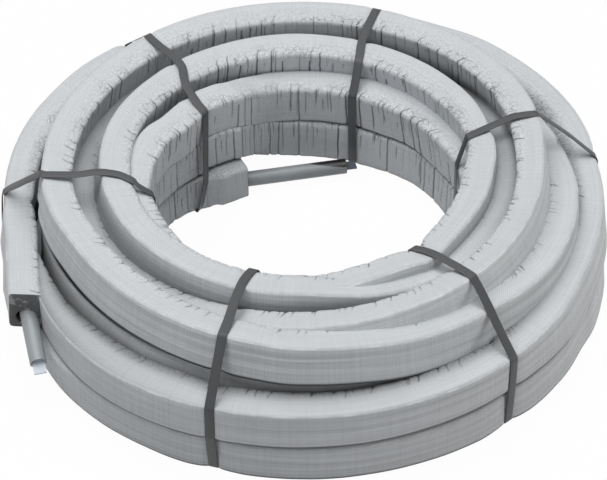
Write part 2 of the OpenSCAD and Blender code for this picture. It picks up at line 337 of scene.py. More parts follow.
def frameRings(ring, slopes=((0, 0), (1, 0))):
    edge, bearing = ring["edge"], ring["bearing"]
    tangent = np.gradient(edge, axis=0)
    tangent[:, 2] = 0
    spread = max(1, int(jacket["evenedOver"] / np.linalg.norm(tangent, axis=1).mean()))
    kernel = np.hanning(2 * spread + 3)[1:-1] / np.hanning(2 * spread + 3).sum()
    padded = np.pad(tangent, ((spread, spread), (0, 0)), mode="edge")
    tangent = unitRows(np.stack([np.convolve(padded[:, k], kernel, mode="valid") for k in range(3)], 1))
    outward = np.stack([tangent[:, 1], -tangent[:, 0], np.zeros(len(edge))], 1)
    # a turn that climbs inwards keeps facing the middle; both cut ends stay square to their run
    ends = np.minimum(bearing - firstBearing, lastBearing - bearing)
    outward = outward + unitRows(edge * [1, 1, 0]) * (2.0 * np.clip((ends - 8) / 14, 0, 1))[:, None]
    outward = unitRows(outward)
    skyward = np.tile([0, 0, 1.0], (len(edge), 1))
    lean = ring["lean"][:, None]
    slope = np.interp(bearing, *zip(*slopes))[:, None]
    ring["side"] = outward * np.cos(lean) + skyward * np.sin(lean)
    ring["up"] = skyward * np.cos(lean) - outward * (np.sin(lean) + slope)
    ring["centre"] = (edge + ring["side"] * jacket["width"] / 2 * ring["widthShare"][:, None]
                      - ring["up"] * jacket["height"] / 2 * ring["heightShare"][:, None])
    ring["morph"] = np.zeros(len(edge))
    # how deep a turn lies among its neighbours, which sets the painted shade on its outer wall
    ring["sunk"] = np.clip((0.645 - ring["share"]) / 0.04, 0, 1)
    for name, (bearings, values) in ringMasks.items():
        ring[name] = np.interp(bearing, bearings, values)
    # every strap draws the turns in, and they swell a little beside it
    middle = ring["share"] + jacket["width"] / coilRadius / 2
    reach, swell, swellPlace = jacket["pinchReach"], jacket["swell"], jacket["swellPlace"]
    ring["pinch"] = np.zeros(len(edge))
    for route in strapRoutes:
        away = (bearing - strapBearing(route, middle) + 180) % 360 - 180
        away = np.radians(np.abs(away)) * middle * coilRadius
        ring["pinch"] += np.exp(-(away / reach) ** 2)
        ring["pinch"] -= swell * np.exp(-((away - swellPlace) / reach) ** 2)
    return ring


def joinRings(parts):
    joined = {}
    offset = 0.0
    for number, part in enumerate(parts):
        for name, values in part.items():
            values = values[1:] if number else values
            if name == "along":
                values = values + offset
            joined.setdefault(name, []).append(values)
        offset += part["along"][-1]
    return {name: np.concatenate(values) for name, values in joined.items()}


def slantEnd(ring):
    left = ring["along"][-1] - ring["along"]
    slant = math.tan(math.radians(jacket["cutSlant"]))
    share = np.clip(1 - left / jacket["slantReach"], 0, 1)[:, None] * slant
    heading = np.gradient(ring["edge"], axis=0)
    heading[:, 2] = 0
    ring["side"] = ring["side"] - unitRows(heading) * share


def cutRings(ring, atStart):
    # the cut face, the opening's rim and the opening's wall, as extra rings at one end
    toward = ring["edge"][1] - ring["edge"][0] if atStart else ring["edge"][-2] - ring["edge"][-1]
    toward[2] = 0
    toward = toward / np.linalg.norm(toward)
    hole = jacket["holeDepth"]
    extra = []
    for morph, depth in [(.03, -.0006), (.5, 0), (.97, 0), (1, .0008), (1, .4 * hole), (1, hole)]:
        row = {name: (values[:1] if atStart else values[-1:]).copy() for name, values in ring.items()}
        row["centre"] = row["centre"] + toward * depth
        row["morph"] = np.array([morph])
        extra.append(row)
    extra = extra[::-1] + [ring] if atStart else [ring] + extra
    return {name: np.concatenate([part[name] for part in extra]) for name in ring}


def outerTurn(step):
    rows = [(*row[:3], 0) for row in outerFirst]
    slopes = [(row[0], row[3]) for row in outerFirst]
    return frameRings(sampleRoute(rows, rows[0][0], rows[-1][0], step), slopes)


def closedTurn(start, share, top, step):
    rows = [(start, share - .012, top - .06, 0), (start + 10, share, top, 0), (start + 180, share, top, 0),
            (start + 358, share, top, 0), (start + 368, share - .012, top - .06, 0)]
    return frameRings(sampleRoute(rows, start, start + 368, step))


def creaseLines(along, down, out, spacing, width, wander, seed, full):
    # wrinkles down the inner face, some only part of the way, curling on to the top
    shift = noise(combine(along + seed, down * 1.3, out * 3.0), 24.0, 3.0, 0.6) * wander
    shift += calc("POWER", out, 2.0) * 1500.0
    cells = allOutputs(along.tree, "ShaderNodeTexVoronoi", {
        "W": (along + seed) / spacing + shift, "Scale": 1.0, "Detail": 0.0, "Randomness": 0.85},
        voronoi_dimensions="1D", feature="F1")
    line = ramp(cells["Distance"] * spacing, 0.0, width, 1.0, 0.0)
    chanceA, chanceB, chanceC = split(cells["Color"])
    reachDown = ramp(chanceA, 0.0, full, 0.010, 0.072, smooth=False)
    reachOut = ramp(calc("POWER", chanceB, 1.5), 0.0, 1.0, 0.0010, 0.018, smooth=False)
    fadeDown = ramp(down - reachDown, -0.012, 0.0, 1.0, 0.0)
    fadeOut = ramp(out - reachOut, -0.006, 0.0, 1.0, 0.0)
    start = ramp(down - calc("POWER", chanceC, 3.0) * 0.020, -0.002, 0.001)
    onTop = ramp(out, 0.001, 0.003) * ramp(out, 0.002, 0.008, 1.0, 0.6) * calc("LESS_THAN", chanceC, 0.6)
    strength = ramp(chanceB, 0.0, 1.0, 0.5, 1.0, smooth=False)
    return line * strength * calc("MAXIMUM", start, onTop) * fadeDown * fadeOut


def creaseMask(along, down, out, spacing, width):
    # long wrinkles, shorter ones between them, and small ticks at the inner top edge
    mask = 0.0
    for wider, thinner, wander, seed, full, strength in (
            (1.0, 1.0, 0.28, 0.0, 0.5, 1.0), (0.66, 0.8, 0.45, 7.3, 1.7, 0.65),
            (0.85, 0.7, 0.8, 3.1, 9.0, 0.7)):
        lines = creaseLines(along, down, out, spacing * wider, width * thinner, wander, seed, full)
        mask = calc("MAXIMUM", mask, lines * strength)
    return mask * ramp(along, 0.045, 0.085, 0.2, 1.0)     # calm at the cut end


def newTree(name, kind, inputs, results):
    tree = bpy.data.node_groups.new(name, kind)
    for way, sockets in (("INPUT", inputs), ("OUTPUT", results)):
        for label, socket in sockets.items():
            tree.interface.new_socket(label, in_out=way, socket_type="NodeSocket" + socket)
    return tree, allOutputs(tree, "NodeGroupInput")


def newShapeTree(name, inputs):
    shape = {"Geometry": "Geometry"}
    return newTree(name, "GeometryNodeTree", {**shape, **inputs}, shape)


def readNamed(tree, name, kind="FLOAT"):
    return output(tree, "GeometryNodeInputNamedAttribute", {"Name": name}, data_type=kind)


def readVector(tree, name):
    return readNamed(tree, name, "FLOAT_VECTOR")


def storeNamed(geometry, name, value, kind="FLOAT_VECTOR"):
    return output(geometry.tree, "GeometryNodeStoreNamedAttribute", {"Geometry": geometry, "Name": name,
                  "Value": value}, data_type=kind, domain="POINT")


def routeCurve(tree, given):
    points = output(tree, "GeometryNodeMeshToPoints", {"Mesh": given["Geometry"]})
    return output(tree, "GeometryNodePointsToCurves", {"Points": points, "Weight": readNamed(tree, "along"),
                  "Curve Group ID": readNamed(tree, "turn", "INT")})


def roundedSection(tree, width, height, radius, count):
    block = output(tree, "GeometryNodeCurvePrimitiveQuadrilateral", {"Width": width, "Height": height},
                   mode="RECTANGLE")
    return output(tree, "GeometryNodeFilletCurve", {"Curve": block, "Count": count, "Radius": radius},
                  mode="POLY")


def sweep(tree, route, section, caps):
    # the section is carried along the route, and its points keep their place in the section
    section = storeNamed(section, "onSection", output(tree, "GeometryNodeInputPosition"))
    swept = output(tree, "GeometryNodeCurveToMesh", {"Curve": route, "Profile Curve": section,
                   "Fill Caps": caps})
    return swept, *split(readVector(tree, "onSection"))[:2]


def placedAround(tree, swept, across, rise):
    # the section's own directions are read from the route, so nothing depends on how a curve twists
    place = vectorCalc("ADD", scaled(readVector(tree, "side"), across), scaled(readVector(tree, "up"), rise))
    place = vectorCalc("ADD", place, readVector(tree, "centre"))
    place = vectorCalc("MAXIMUM", place, (-9.0, -9.0, 0.0003))     # it rests flat on the ground
    return output(tree, "GeometryNodeSetPosition", {"Geometry": swept, "Position": place})


def finishShape(tree, shaped, material, *further):
    # what only the shape needed goes, and the material comes
    for name in ("onSection", "side", "up", "centre", "turn", "along", *further):
        shaped = output(tree, "GeometryNodeRemoveAttribute", {"Geometry": shaped, "Name": name})
    shaped = output(tree, "GeometryNodeSetShadeSmooth", {"Geometry": shaped})
    shaped = output(tree, "GeometryNodeRealizeInstances", {"Geometry": shaped})
    return output(tree, "GeometryNodeSetMaterial", {"Geometry": shaped, "Material": material})


def woundTree():
    sizes = ("Width", "Height", "Corner", "Hole Radius", "Hole Rise", "Crease Spacing", "Crease Depth",
             "Lump Depth", "Pinch Depth")
    tree, given = newShapeTree("woundTurns", {**dict.fromkeys(sizes, "Float"), "Section Points": "Int",
                               "Film": "Material", "Cut Foam": "Material"})
    section = roundedSection(tree, given["Width"], given["Height"], given["Corner"], 6)
    section = output(tree, "GeometryNodeResampleCurve", {"Curve": section,
                     "Count": given["Section Points"]}, mode="COUNT")
    swept, across, rise = sweep(tree, routeCurve(tree, given), section, True)
    halfWidth, halfHeight = given["Width"] * 0.5, given["Height"] * 0.5
    out = across + halfWidth           # from the inner face
    down = halfHeight - rise           # from the top
    along, morph = readNamed(tree, "along"), readNamed(tree, "morph")

    # outward direction of a rounded rectangle
    past = []
    for value, half in ((across, halfWidth), (rise, halfHeight)):
        flat = half - given["Corner"]
        past.append(value - calc("MAXIMUM", calc("MINIMUM", value, flat), flat * -1.0))
    facingX, facingY = split(vectorCalc("NORMALIZE", combine(*past)))[:2]

    crease = creaseMask(along, down, out, given["Crease Spacing"], jacket["creaseWidth"])
    lumpPlace = combine(along, out * 0.8, down)
    lift = noise(lumpPlace, 34.0) * given["Lump Depth"] * ramp(out, 0.006, 0.026, 1.0, 0.35) * 2.0
    lift += noise(lumpPlace, 120.0, 1.0) * ramp(out, 0.004, 0.016, 1.0, 0.0) * 0.0010
    lift += noise(combine(along, 0.0), 9.0, 1.0) * 0.0015
    lift -= crease * given["Crease Depth"] + readNamed(tree, "pinch") * given["Pinch Depth"]
    lift *= 1.0 - ramp(morph, 0.0, 0.02)         # not on a cut face

    # a cut end closes in from the section to a round opening
    middleY = given["Hole Rise"] - halfHeight
    fromPipe = vectorCalc("NORMALIZE", combine(across, rise - middleY))
    ringX, ringY = split(scaled(fromPipe, given["Hole Radius"]))[:2]
    placed = []
    for value, share, facing, opening in ((across, "widthShare", facingX, ringX),
                                          (rise, "heightShare", facingY, ringY + middleY)):
        outer = value * readNamed(tree, share) + facing * lift
        placed.append(outer + (opening - outer) * morph)
    shaped = placedAround(tree, swept, *placed)
    shaped = storeNamed(shaped, "lay", combine(along, out, down))
    shaped = storeNamed(shaped, "cut", morph, "FLOAT")
    shaped = finishShape(tree, shaped, given["Film"], "morph", "pinch", "widthShare", "heightShare")
    cutFace = calc("GREATER_THAN", readNamed(tree, "cut"), 0.01)
    shaped = output(tree, "GeometryNodeSetMaterial", {"Geometry": shaped, "Selection": cutFace,
                    "Material": given["Cut Foam"]})
    addNode(tree, "NodeGroupOutput", {"Geometry": shaped})
    return tree


def routeMesh(name, turns, fields):
    # points along the turns, with what the tree and the finish read at each of them
    mesh = bpy.data.meshes.new(name)
    mesh.from_pydata(np.concatenate([turn["centre"] for turn in turns]).tolist(), [], [])
    for key in fields:
        values = np.concatenate([turn[key] for turn in turns]).astype(np.float32)
        kind, slot = ("FLOAT_VECTOR", "vector") if values.ndim == 2 else ("FLOAT", "value")
        mesh.attributes.new(key, kind, "POINT").data.foreach_set(slot, values.ravel())
    number = np.repeat(np.arange(len(turns), dtype=np.int32), [len(turn["along"]) for turn in turns])
    mesh.attributes.new("turn", "INT", "POINT").data.foreach_set("value", number)
    piece = bpy.data.objects.new(name, mesh)
    bpy.context.scene.collection.objects.link(piece)
    return piece


def plainMesh(piece, tree, values):
    # a modifier's inputs are set by identifier, then its result becomes a plain mesh
    modifier = piece.modifiers.new("shape", "NODES")
    modifier.node_group = tree
    for item in tree.interface.items_tree:
        if item.item_type == "SOCKET" and item.in_out == "INPUT" and item.name in values:
            modifier[item.identifier] = values[item.name]
    graph = bpy.context.evaluated_depsgraph_get()
    made = bpy.data.meshes.new_from_object(piece.evaluated_get(graph), depsgraph=graph)
    made.name = piece.name
    piece.modifiers.clear()
    piece.data = made
    work = bmesh.new()
    work.from_mesh(made)
    if work.calc_volume(signed=True) < 0:
        bmesh.ops.reverse_faces(work, faces=work.faces)
    work.to_mesh(made)
    work.free()
    return piece


def blankMaterial(name):
    material = bpy.data.materials.new(name)
    material.use_nodes = True
    material.node_tree.nodes.clear()
    return material, material.node_tree


def newMaterial(name):
    material, tree = blankMaterial(name)
    shader = addNode(tree, "ShaderNodeBsdfPrincipled")
    tree.links.new(shader.outputs[0], tree.nodes.new("ShaderNodeOutputMaterial").inputs["Surface"])
    return material, tree, shader.inputs


def mixColour(share, first, second):
    colours = [value if isinstance(value, Output) else (*value, 1) for value in (first, second)]
    return output(share.tree, "ShaderNodeMix", {0: share, 6: colours[0], 7: colours[1]}, 2, data_type="RGBA")


def bump(tree, height, depth, strength):
    return output(tree, "ShaderNodeBump", {"Height": height, "Distance": depth, "Strength": strength})


def attribute(tree, name, part="Fac"):
    return output(tree, "ShaderNodeAttribute", which=part, attribute_name=name)


def objectPlace(tree):
    return output(tree, "ShaderNodeTexCoord", which="Object")


def surfaceNormal(tree):
    return output(tree, "ShaderNodeNewGeometry", which="Normal")


def scuffGroup():
    # uneven wear, as a mask round zero, a factor for the colour and a roughness
    numbers = ("Scale", "Detail", "Contrast", "Mean Roughness", "Roughness Change")
    tree, given = newTree("scuffs", "ShaderNodeTree", {"Place": "Vector", **dict.fromkeys(numbers, "Float")},
                          dict.fromkeys(("Mask", "Tone", "Roughness"), "Float"))
    mask = noise(given["Place"], given["Scale"], given["Detail"])
    addNode(tree, "NodeGroupOutput", {"Mask": mask, "Tone": mask * given["Contrast"] + 1.0,
            "Roughness": mask * given["Roughness Change"] + given["Mean Roughness"]})
    return tree


def ribGroup():
    # even ribs or threads across a direction, from -1 to 1
    tree, given = newTree("ribs", "ShaderNodeTree", {"Distance": "Float", "Spacing": "Float"},
                          {"Wave": "Float"})
    wave = calc("SINE", given["Distance"] * calc("DIVIDE", math.tau, given["Spacing"]))
    addNode(tree, "NodeGroupOutput", {"Wave": wave})
    return tree


scuffs, ribs = scuffGroup(), ribGroup()


def scuffed(place, look):
    return allOutputs(place.tree, "ShaderNodeGroup", {
        "Place": place, "Scale": look["scuffScale"], "Detail": look["scuffDetail"],
        "Contrast": look["scuffContrast"], "Mean Roughness": look["roughness"],
        "Roughness Change": look["roughnessChange"]}, node_tree=scuffs)


def ribbed(distance, spacing):
    return output(distance.tree, "ShaderNodeGroup", {"Distance": distance, "Spacing": spacing},
                  node_tree=ribs)


filmLook = {
    "colour": (0.600, 0.622, 0.640),
    # painted shade in the wrinkles: its colour, the width of its lines and how strongly it shows
    "creaseShadeColour": (0.045, 0.050, 0.058),
    "creaseWidth": 0.0015,
    "creaseShadeDarkness": 0.92,
    "threadSpacing": 0.0030,
    "weave": 0.12,            # contrast of the crossed threads
    "plaid": 0.035,           # single threads, on the walls only
    "crumple": 1.25,          # crumpled skin, strongest at the inner top edge
    "fleck": 0.24,            # bright flecks in it
    "crackle": 0.30,          # fine dark cracks in it
    "linesOnTop": 0.20,       # fine lines along the turn
    "linesOnOuter": 0.56,
    "bands": 0.46,            # broader lines, on the outer wall only
    "cloud": 0.10,
    "rim": 0.28,              # painted highlight: a bright line under the outer top edge
    "contactShadeTone": 0.13,        # what is left of the tone in the painted shade where turns meet
    "sunkShade": 0.50,        # shade on outer walls between two turns
    "gloom": 0.58,            # more of it, where the wall lies deep
    "nookShade": 0.50,        # shade where a wall rises from a top
    "footShade": 0.82,        # shade at the foot of a hidden inner wall
    "roughness": 0.55,
    "specular": 0.35,
    "reliefDepth": 0.0008,
    "reliefStrength": 0.75,
}


def filmMaterial():
    look = filmLook
    material, tree, shader = newMaterial("jacketFilm")
    width, height = jacket["width"], jacket["height"]
    along, out, down = split(attribute(tree, "lay", "Vector"))
    crease = creaseMask(along, down, out, jacket["creaseSpacing"], look["creaseWidth"])
    crease *= 1.0 - attribute(tree, "calm")
    onTop = ramp(split(surfaceNormal(tree))[2], 0.35, 0.75)
    onOuter = ramp(out, width - 0.003, width - 0.0005)
    atBack = ramp(split(objectPlace(tree))[1], -0.10, 0.16)
    fromInner = out / ramp(atBack, 0.0, 1.0, 0.014, 0.036)      # crumpling reaches further out at the back
    around = out + down
    grid = lambda a, b: combine(along * a, around * b)

    # woven film: crossed threads, finer lines along the turn on its sides
    warp, weft = ribbed(along, look["threadSpacing"]), ribbed(around, look["threadSpacing"])
    weave = warp * weft
    ridge = noise(grid(5.0, 300.0), 1.0, 2.0, 0.6)
    band = noise(grid(2.0, 130.0), 1.0, 1.0)
    thread = noise(grid(420.0, 9.0), 1.0, 1.0)
    cloud = noise(grid(26.0, 45.0), 1.0, 3.0)
    # crumpled skin
    crumple = noise(grid(330.0, 330.0), 1.0, 3.0, 0.65)
    fleck = ramp(noise(grid(560.0, 560.0), 1.0, 1.0), 0.10, 0.22)
    under = attribute(tree, "under")
    rough = ramp(fromInner, 0.1, 1.0, 1.0, 0.12) * ramp(onTop, 0.0, 1.0, 0.35, 1.0)
    rough = calc("MAXIMUM", rough, under * onTop * 0.5)
    wander = noise(grid(120.0, 120.0), 1.0, 1.0)
    shifted = combine(along * 120.0 + wander * 1.2, around * 170.0 - wander)
    cells = output(tree, "ShaderNodeTexVoronoi", {"Vector": shifted, "Scale": 1.0}, "Distance",
                   voronoi_dimensions="2D", feature="DISTANCE_TO_EDGE")
    patch = ramp(noise(grid(38.0, 60.0), 1.0), -0.02, 0.12) * ramp(fromInner, 0.2, 0.75, 1.0, 0.0)
    crackle = ramp(cells, 0.02, 0.11, 1.0, 0.0) * patch
    crackle *= ramp(atBack, 0.0, 1.0, 0.5, 1.1) * ramp(out, 0.0004, 0.0026)

    tone = weave * look["weave"] + 1.0
    tone += cloud * look["cloud"] - crackle * look["crackle"]
    tone += rough * (crumple * look["crumple"] + fleck * look["fleck"])
    tone += ridge * ramp(onOuter, 0.0, 1.0, look["linesOnTop"], look["linesOnOuter"])
    tone += band * onOuter * look["bands"] + thread * ramp(onOuter, 0.0, 1.0, 0.14, 0.20)
    tone += (warp + weft) * (1.0 - onTop) * look["plaid"]
    # painted highlight: a bright line under the outer top edge, broken up along the turn
    highlightBreakup = ramp(noise(grid(45.0, 1.0), 1.0, 3.0), -0.1, 0.15)
    rim = ramp(down, 0.0006, 0.0018) * ramp(down, 0.0026, 0.0040, 1.0, 0.0)
    tone += rim * onOuter * highlightBreakup * look["rim"]

    # painted shade: the side walls darken where one turn presses on the next
    reachUp = ramp(onOuter, 0.0, 1.0, 0.0042, 0.0068)
    contactShade = ramp(down + reachUp, height, height + 0.0040) * attribute(tree, "seam")
    tone *= ramp(contactShade, 0.0, 1.0, 1.0, look["contactShadeTone"])
    # outer walls sunk between two turns fall into shade towards their foot
    sunk = attribute(tree, "sunk")
    shade = ramp(down, 0.004, height * 0.62) * onOuter * calc("MINIMUM", sunk, 1.0)
    gloom = calc("SUBTRACT", sunk, 1.0, clamp=True)
    # painted shade on tops of turns that lie lower than their neighbours, darkest beside the neighbours'
    # walls
    aside = calc("ABSOLUTE", out - width / 2)
    hidden = under * (1.0 - onOuter) * ramp(aside, width * 0.1, width * 0.45, 0.55, 0.95)
    # painted shade in the corner between a top and the wall that rises inside it, and at that wall's foot
    corner = attribute(tree, "nook") * onTop * ramp(out, 0.001, 0.020, 1.0, 0.0)
    wall = (1.0 - onTop) * (1.0 - onOuter)
    foot = attribute(tree, "foot") * wall * ramp(down, height * 0.3, height * 0.78)
    # each painted shade darkens the tone
    for mask, amount in ((shade, look["sunkShade"]), (gloom, look["gloom"]), (hidden, 1.0),
                         (corner, look["nookShade"]), (foot, look["footShade"])):
        tone *= 1.0 - mask * amount

    # the wrinkles are darkened with painted shade
    colour = mixColour(crease * look["creaseShadeDarkness"], scaled(look["colour"], tone), look["creaseShadeColour"])
    relief = weave * 0.12 + ridge * 0.9 + crumple * rough * 2.4 - crackle * 0.9 - crease * 2.4
    setInputs(tree, shader, {
        "Base Color": colour, "Roughness": look["roughness"], "Specular IOR Level": look["specular"],
        "Normal": bump(tree, relief, look["reliefDepth"], look["reliefStrength"])})
    return material


foamLook = {
    "colour": (0.135, 0.137, 0.138),
    "scuffedColour": (0.36, 0.365, 0.365),
    "scuffScale": 900.0,      # the cells of the foam
    "scuffDetail": 3.0,
    "scuffContrast": 0.7,
    "roughness": 0.95,
    "roughnessChange": 0.0,
}


def foamMaterial():
    material, tree, shader = newMaterial("cutFoam")
    place = objectPlace(tree)
    grain = scuffed(place, foamLook)
    upper = ramp(split(place)[2], 0.088, 0.106)          # scuffed towards the top
    scuff = ramp(noise(place, 95.0, 4.0) + upper * 0.07, 0.07, 0.16)
    base = mixColour(scuff, foamLook["colour"], foamLook["scuffedColour"])
    setInputs(tree, shader, {"Base Color": scaled(base, grain["Tone"]), "Roughness": foamLook["roughness"],
                             "Normal": bump(tree, grain["Mask"], 0.0008, 0.8)})
    return material


pipeLook = {
    "colour": (0.33, 0.355, 0.37),
    "scuffScale": 60.0,
    "scuffDetail": 4.0,
    "scuffContrast": 0.18,
    "roughness": 0.38,
    "roughnessChange": 0.2,
    "wedgeShadow": 0.74,            # painted shadow: the dark wedge on the inner end
}


def pipeMaterial():
    material, tree, shader = newMaterial("pipePlastic")
    place = objectPlace(tree)
    scuff = scuffed(place, pipeLook)
    fine = noise(place, 700.0)
    # painted shadow on the inner end: a dark wedge on top that widens towards its plug, over painted shade
    # on the whole end
    across, depth = split(place)[:2]
    towards = vectorCalc("DOT_PRODUCT", surfaceNormal(tree), (0.0, 0.5, 0.87))
    limit = ramp(across, 0.010, 0.056, 0.98, 0.08, smooth=False)
    shadowWedge = ramp(towards - limit, -0.10, 0.10) * ramp(across, -0.01, 0.02)
    pipeShade = shadowWedge * pipeLook["wedgeShadow"] + ramp(across, -0.03, 0.05, 0.05, 0.28)
    tone = (scuff["Tone"] + fine * 0.06) * (1.0 - pipeShade * ramp(depth, -0.05, 0.05))
    setInputs(tree, shader, {"Base Color": scaled(pipeLook["colour"], tone), "Roughness": scuff["Roughness"],
                             "Normal": bump(tree, fine, 0.0002, 0.3)})
    return material


plugLook = {
    "outerColour": (0.62, 0.67, 0.74),
    # the inner plug: the outer plug's plastic, darkened as painted shade since it lies under the coil
    "shadedInnerColour": (0.11, 0.125, 0.15),
    "scuffScale": 80.0,
    "scuffDetail": 3.0,
    "scuffContrast": 0.14,
    "roughness": 0.42,
    "roughnessChange": 0.2,
}


def plugMaterial(name, colour):
    material, tree, shader = newMaterial(name)
    scuff = scuffed(objectPlace(tree), plugLook)
    setInputs(tree, shader, {"Base Color": scaled(colour, scuff["Tone"]), "Roughness": scuff["Roughness"]})
    return material


strapLook = {
    "colour": (0.040, 0.042, 0.045),
    "ribSpacing": 0.0011,     # fine ribs along the band
    "scuffScale": 1.0,
    "scuffDetail": 3.0,
    "scuffContrast": 0.5,
    "roughness": 0.42,
    "roughnessChange": 0.25,
}


def strapMaterial():
    material, tree, shader = newMaterial("strapPlastic")
    along, across = split(attribute(tree, "lay", "Vector"))[:2]
    rib = ribbed(across, strapLook["ribSpacing"])
    wear = scuffed(combine(along * 40.0, across * 400.0), strapLook)
    tone = wear["Tone"] + rib * 0.06
    setInputs(tree, shader, {"Base Color": scaled(strapLook["colour"], tone), "Roughness": wear["Roughness"],
                             "Normal": bump(tree, wear["Mask"] + rib * 0.5, 0.0002, 0.5)})
    return material


film, cutFoam = filmMaterial(), foamMaterial()
pipePlastic, strapPlastic = pipeMaterial(), strapMaterial()
outerPlug = plugMaterial("outerPlugPlastic", plugLook["outerColour"])
# the inner plug's finish is a painted-shade copy of the outer one
shadedInnerPlug = plugMaterial("innerPlugPaintedShade", plugLook["shadedInnerColour"])
print("finishes made")

# the jacket: one route, swept in stretches of fine and coarse rings and cut into four pieces
wholeRoute = routeStarts + routeSecond + routeTop + routeLast
fine, coarse = jacket["fineStep"], jacket["coarseStep"]
stretches = [(122.8, 1455, fine), (1455, 1560, coarse), (1560, 2190, fine), (2190, 2340, coarse),
             (2340, 2731, fine)]
spans = {"jacket_first_layer": (122, 429), "jacket_second_layer": (429, 789.2),
         "jacket_top_turns": (789.2, 1814), "jacket_last_turn": (1814, 2732)}
ringFields = ("side", "up", "centre", "along", "widthShare", "heightShare", "pinch", "morph", "sunk",
              *ringMasks)
treeValues = {"Width": jacket["width"], "Height": jacket["height"], "Corner": jacket["corner"],
              "Hole Radius": jacket["holeRadius"], "Hole Rise": jacket["holeRise"],
              "Crease Spacing": jacket["creaseSpacing"], "Crease Depth": jacket["creaseDepth"],
              "Lump Depth": jacket["lumpDepth"], "Pinch Depth": jacket["pinchDepth"],
              "Section Points": jacket["sectionPoints"], "Film": film, "Cut Foam": cutFoam}
turnTree = woundTree()
wound = frameRings(joinRings([sampleRoute(wholeRoute, *stretch) for stretch in stretches]), lastSlope)
slantEnd(wound)
jacketPieces = []
for name, (first, last) in spans.items():
    begin, stop = np.searchsorted(wound["bearing"], (first, last))
    turn = {key: values[begin:stop + 1] for key, values in wound.items()}
    if name in ("jacket_first_layer", "jacket_last_turn"):
        turn = cutRings(turn, name == "jacket_first_layer")
    turns = [turn]
    if name == "jacket_first_layer":
        turns += [closedTurn(*buried, coarse) for buried in buriedFirst]
        turns.append(outerTurn(fine * 1.2))
    if name == "jacket_second_layer":
        turns += [closedTurn(*buried, coarse) for buried in buriedSecond]
        deep = frameRings(sampleRoute(underTurn, underTurn[0][0], underTurn[-1][0], 0.005))
        # the turn under the last one gets painted shade: on its top, and all over where it lies deepest,
        # towards its start
        deep["under"] = np.ones(len(deep["along"]))
        deep["sunk"] = np.interp(deep["bearing"], [200, 215, 228, 245, 270], [1.8, 1.65, 1.4, 0.7, 0.3])
        turns.append(deep)
    piece = plainMesh(routeMesh(name, turns, ringFields), turnTree, treeValues)
    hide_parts("insulation_jacket")
    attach(piece, "root")
    jacketPieces.append(piece)
    print(name, len(piece.data.polygons), "faces")
print("length of jacket in the visible turns", round(float(wound["along"][-1]), 2), "m")

straps = {
    "width": 0.0112,
    "thickness": 0.0009,
    "bend": 0.0022,           # radius at which a strap bends round an edge
    "lift": 0.0012,           # its middle stands this far off what it lies on
    "step": 0.0024,           # point spacing along it
    "twist": 0.02,            # length over which it turns to lie flat on a wall
    "slipHeight": 0.16,       # a slipped end is back in line at this height
    "probeStep": 0.0015,      # spacing of the rays that find the tops below a strap
    "probeRise": 0.003,       # and of those that find the walls beside its ends
    "probeFrom": 0.05,        # how far from a wall those start
    "probeLanes": (-0.42, 0, 0.42),     # rays side by side, as shares of the width
}


def bandSweep():
    tree, given = newShapeTree("strapBand", {"Width": "Float", "Thickness": "Float", "Strap": "Material"})
    route = output(tree, "GeometryNodeSetSplineCyclic", {"Geometry": routeCurve(tree, given),
                   "Cyclic": True})
    band = roundedSection(tree, given["Width"], given["Thickness"], given["Thickness"] * 0.4, 2)
    swept, across, rise = sweep(tree, route, band, False)
    shaped = placedAround(tree, swept, across, rise)
    shaped = storeNamed(shaped, "lay", combine(readNamed(tree, "along"), across, rise))
    shaped = finishShape(tree, shaped, given["Strap"])
    addNode(tree, "NodeGroupOutput", {"Geometry": shaped})
    return tree


def hullOf(points):
    points = sorted(map(tuple, points))
    turn = lambda o, a, b: (a[0] - o[0]) * (b[1] - o[1]) - (a[1] - o[1]) * (b[0] - o[0])
    chains = []
    for ordered in (points, points[::-1]):
        chain = []
        for point in ordered:
            while len(chain) > 1 and turn(chain[-2], chain[-1], point) <= 0:
                chain.pop()
            chain.append(point)
        chains.append(chain[:-1])
    return np.array(chains[0] + chains[1])


def surfaceOf(piece):
    corners = [vertex.co for vertex in piece.data.vertices]
    return BVHTree.FromPolygons(corners, [face.vertices for face in piece.data.polygons])


def nearestHit(surfaces, origin, direction):
    best = None
    for surface in surfaces:
        hit = surface.ray_cast(Vector(origin), Vector(direction))
        if hit[0] is not None and (best is None or hit[3] < best[1]):
            best = (hit[0], hit[3])
    return best[0] if best else None


